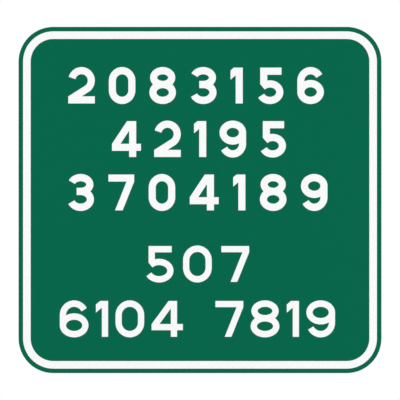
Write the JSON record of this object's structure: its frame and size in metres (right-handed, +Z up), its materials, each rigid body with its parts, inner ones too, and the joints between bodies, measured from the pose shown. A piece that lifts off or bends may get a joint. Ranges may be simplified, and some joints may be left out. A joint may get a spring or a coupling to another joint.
{
  "type": "overhead road direction sign panel",
  "caption": "Large rounded road direction sign panel with a white border, T-slot rails behind it, and two clipped I-section hangers with bolt plates for an overhead gantry.",
  "frame": {"origin": "centre of the back face of the lower left gantry plate, where it bears on the gantry", "axes": "+X to the right as the face is read, +Y from the face to the back and out of the gantry plates, +Z up"},
  "size_m": [2.4, 0.1616, 2.29],
  "materials": {
    "sheet": "satin",
    "green_film": "gloss",
    "white_film": "gloss",
    "rail": "satin",
    "galvanised_steel": "matte",
    "clip": "matte",
    "bolt": "satin"
  },
  "bodies": {
    "root": {"face_sheet_left": "sheet", "face_sheet_right": "sheet", "green_film_left": "green_film", "green_film_right": "green_film", "border_film_left": "white_film", "border_film_right": "white_film", "stiffening_rail_1": "rail", "stiffening_rail_2": "rail", "stiffening_rail_3": "rail", "stiffening_rail_4": "rail", "stiffening_rail_5": "rail", "joint_strips": "sheet", "hanger_left": "galvanised_steel", "hanger_right": "galvanised_steel", "gantry_plate_lower_left": "galvanised_steel", "gantry_plate_lower_right": "galvanised_steel", "gantry_plate_upper_left": "galvanised_steel", "gantry_plate_upper_right": "galvanised_steel", "web_stiffeners_lower_left": "galvanised_steel", "web_stiffeners_lower_right": "galvanised_steel", "web_stiffeners_upper_left": "galvanised_steel", "web_stiffeners_upper_right": "galvanised_steel", "clips_left_1": "clip", "clips_left_2": "clip", "clips_left_3": "clip", "clips_left_4": "clip", "clips_left_5": "clip", "clips_right_1": "clip", "clips_right_2": "clip", "clips_right_3": "clip", "clips_right_4": "clip", "clips_right_5": "clip", "clip_bolts_left_1": "bolt", "clip_bolts_left_2": "bolt", "clip_bolts_left_3": "bolt", "clip_bolts_left_4": "bolt", "clip_bolts_left_5": "bolt", "clip_bolts_right_1": "bolt", "clip_bolts_right_2": "bolt", "clip_bolts_right_3": "bolt", "clip_bolts_right_4": "bolt", "clip_bolts_right_5": "bolt"}
  },
  "joints": []
}
